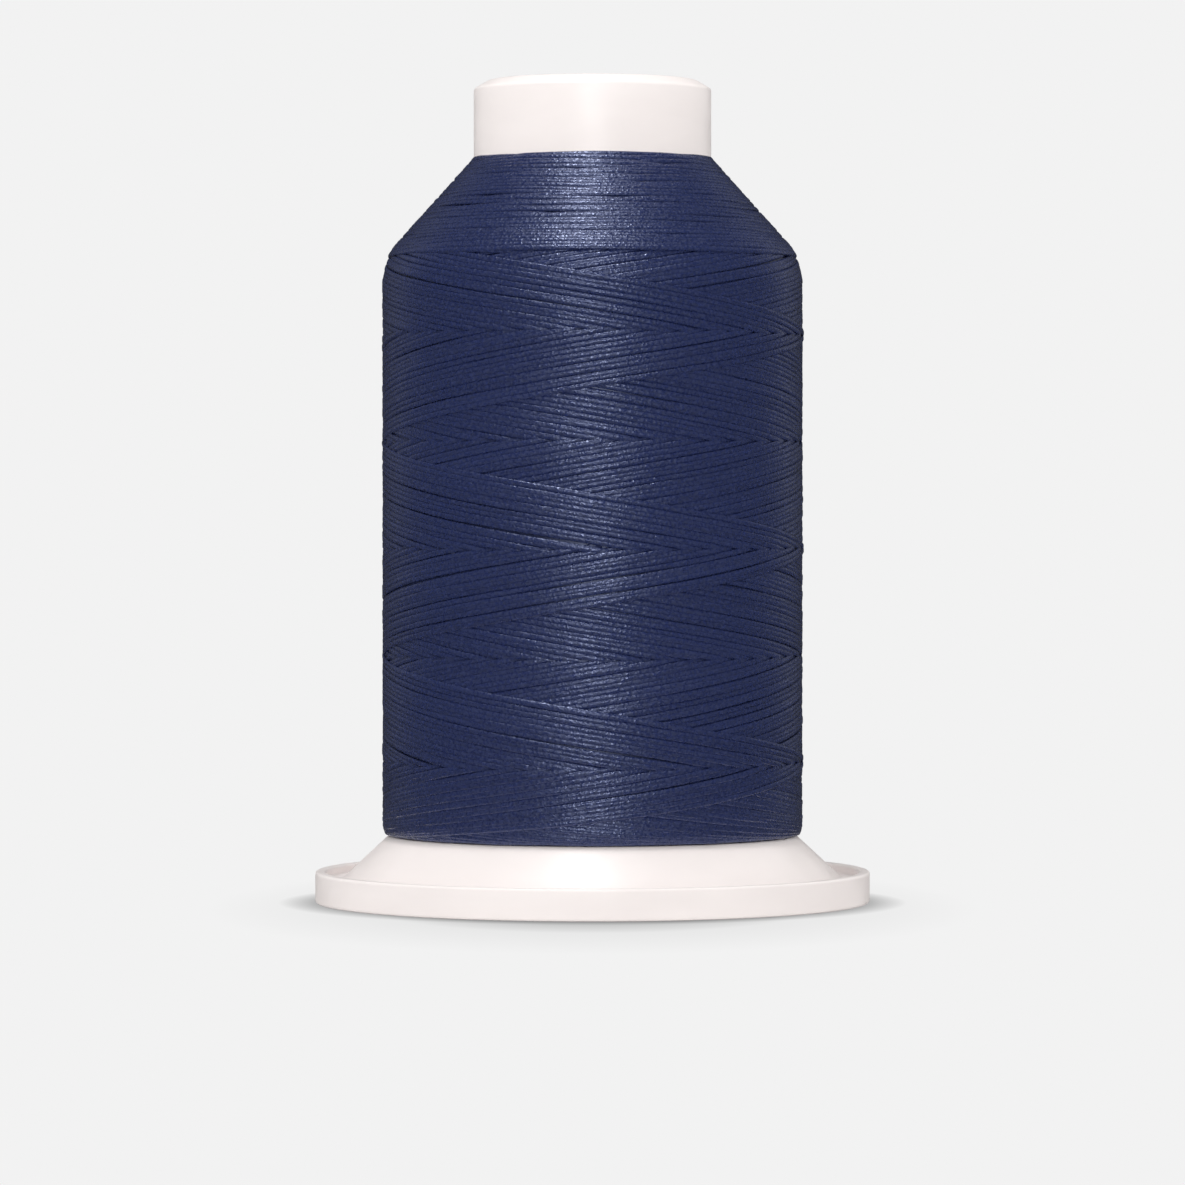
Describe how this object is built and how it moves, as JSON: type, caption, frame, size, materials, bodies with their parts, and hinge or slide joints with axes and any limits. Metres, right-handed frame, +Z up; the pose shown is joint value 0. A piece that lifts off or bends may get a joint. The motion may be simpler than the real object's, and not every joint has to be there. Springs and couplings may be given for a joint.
{
  "type": "spool of thread",
  "caption": "Snap spool: a hollow barrel wound with crossed thread under a conical shoulder, on a wide round foot that lifts off a little to lock the thread's end.",
  "frame": {"origin": "centre of the foot's underside, where the spool stands", "axes": "+Z up the spool's axis from the foot to the collar, which every turned surface shares"},
  "size_m": [0.06, 0.06, 0.0888],
  "materials": {
    "foot_plastic": "satin",
    "barrel_plastic": "satin",
    "thread": "satin",
    "label_paper": "matte"
  },
  "bodies": {
    "foot": {"snap_foot": "foot_plastic", "foot_label": "label_paper"},
    "spool": {"barrel": "barrel_plastic", "thread_package": "thread"}
  },
  "joints": [
    {"name": "foot_snap", "type": "slide", "parent": "foot", "child": "spool", "axis": [0, 0, 1], "range_m": [0, 0.0025]}
  ]
}
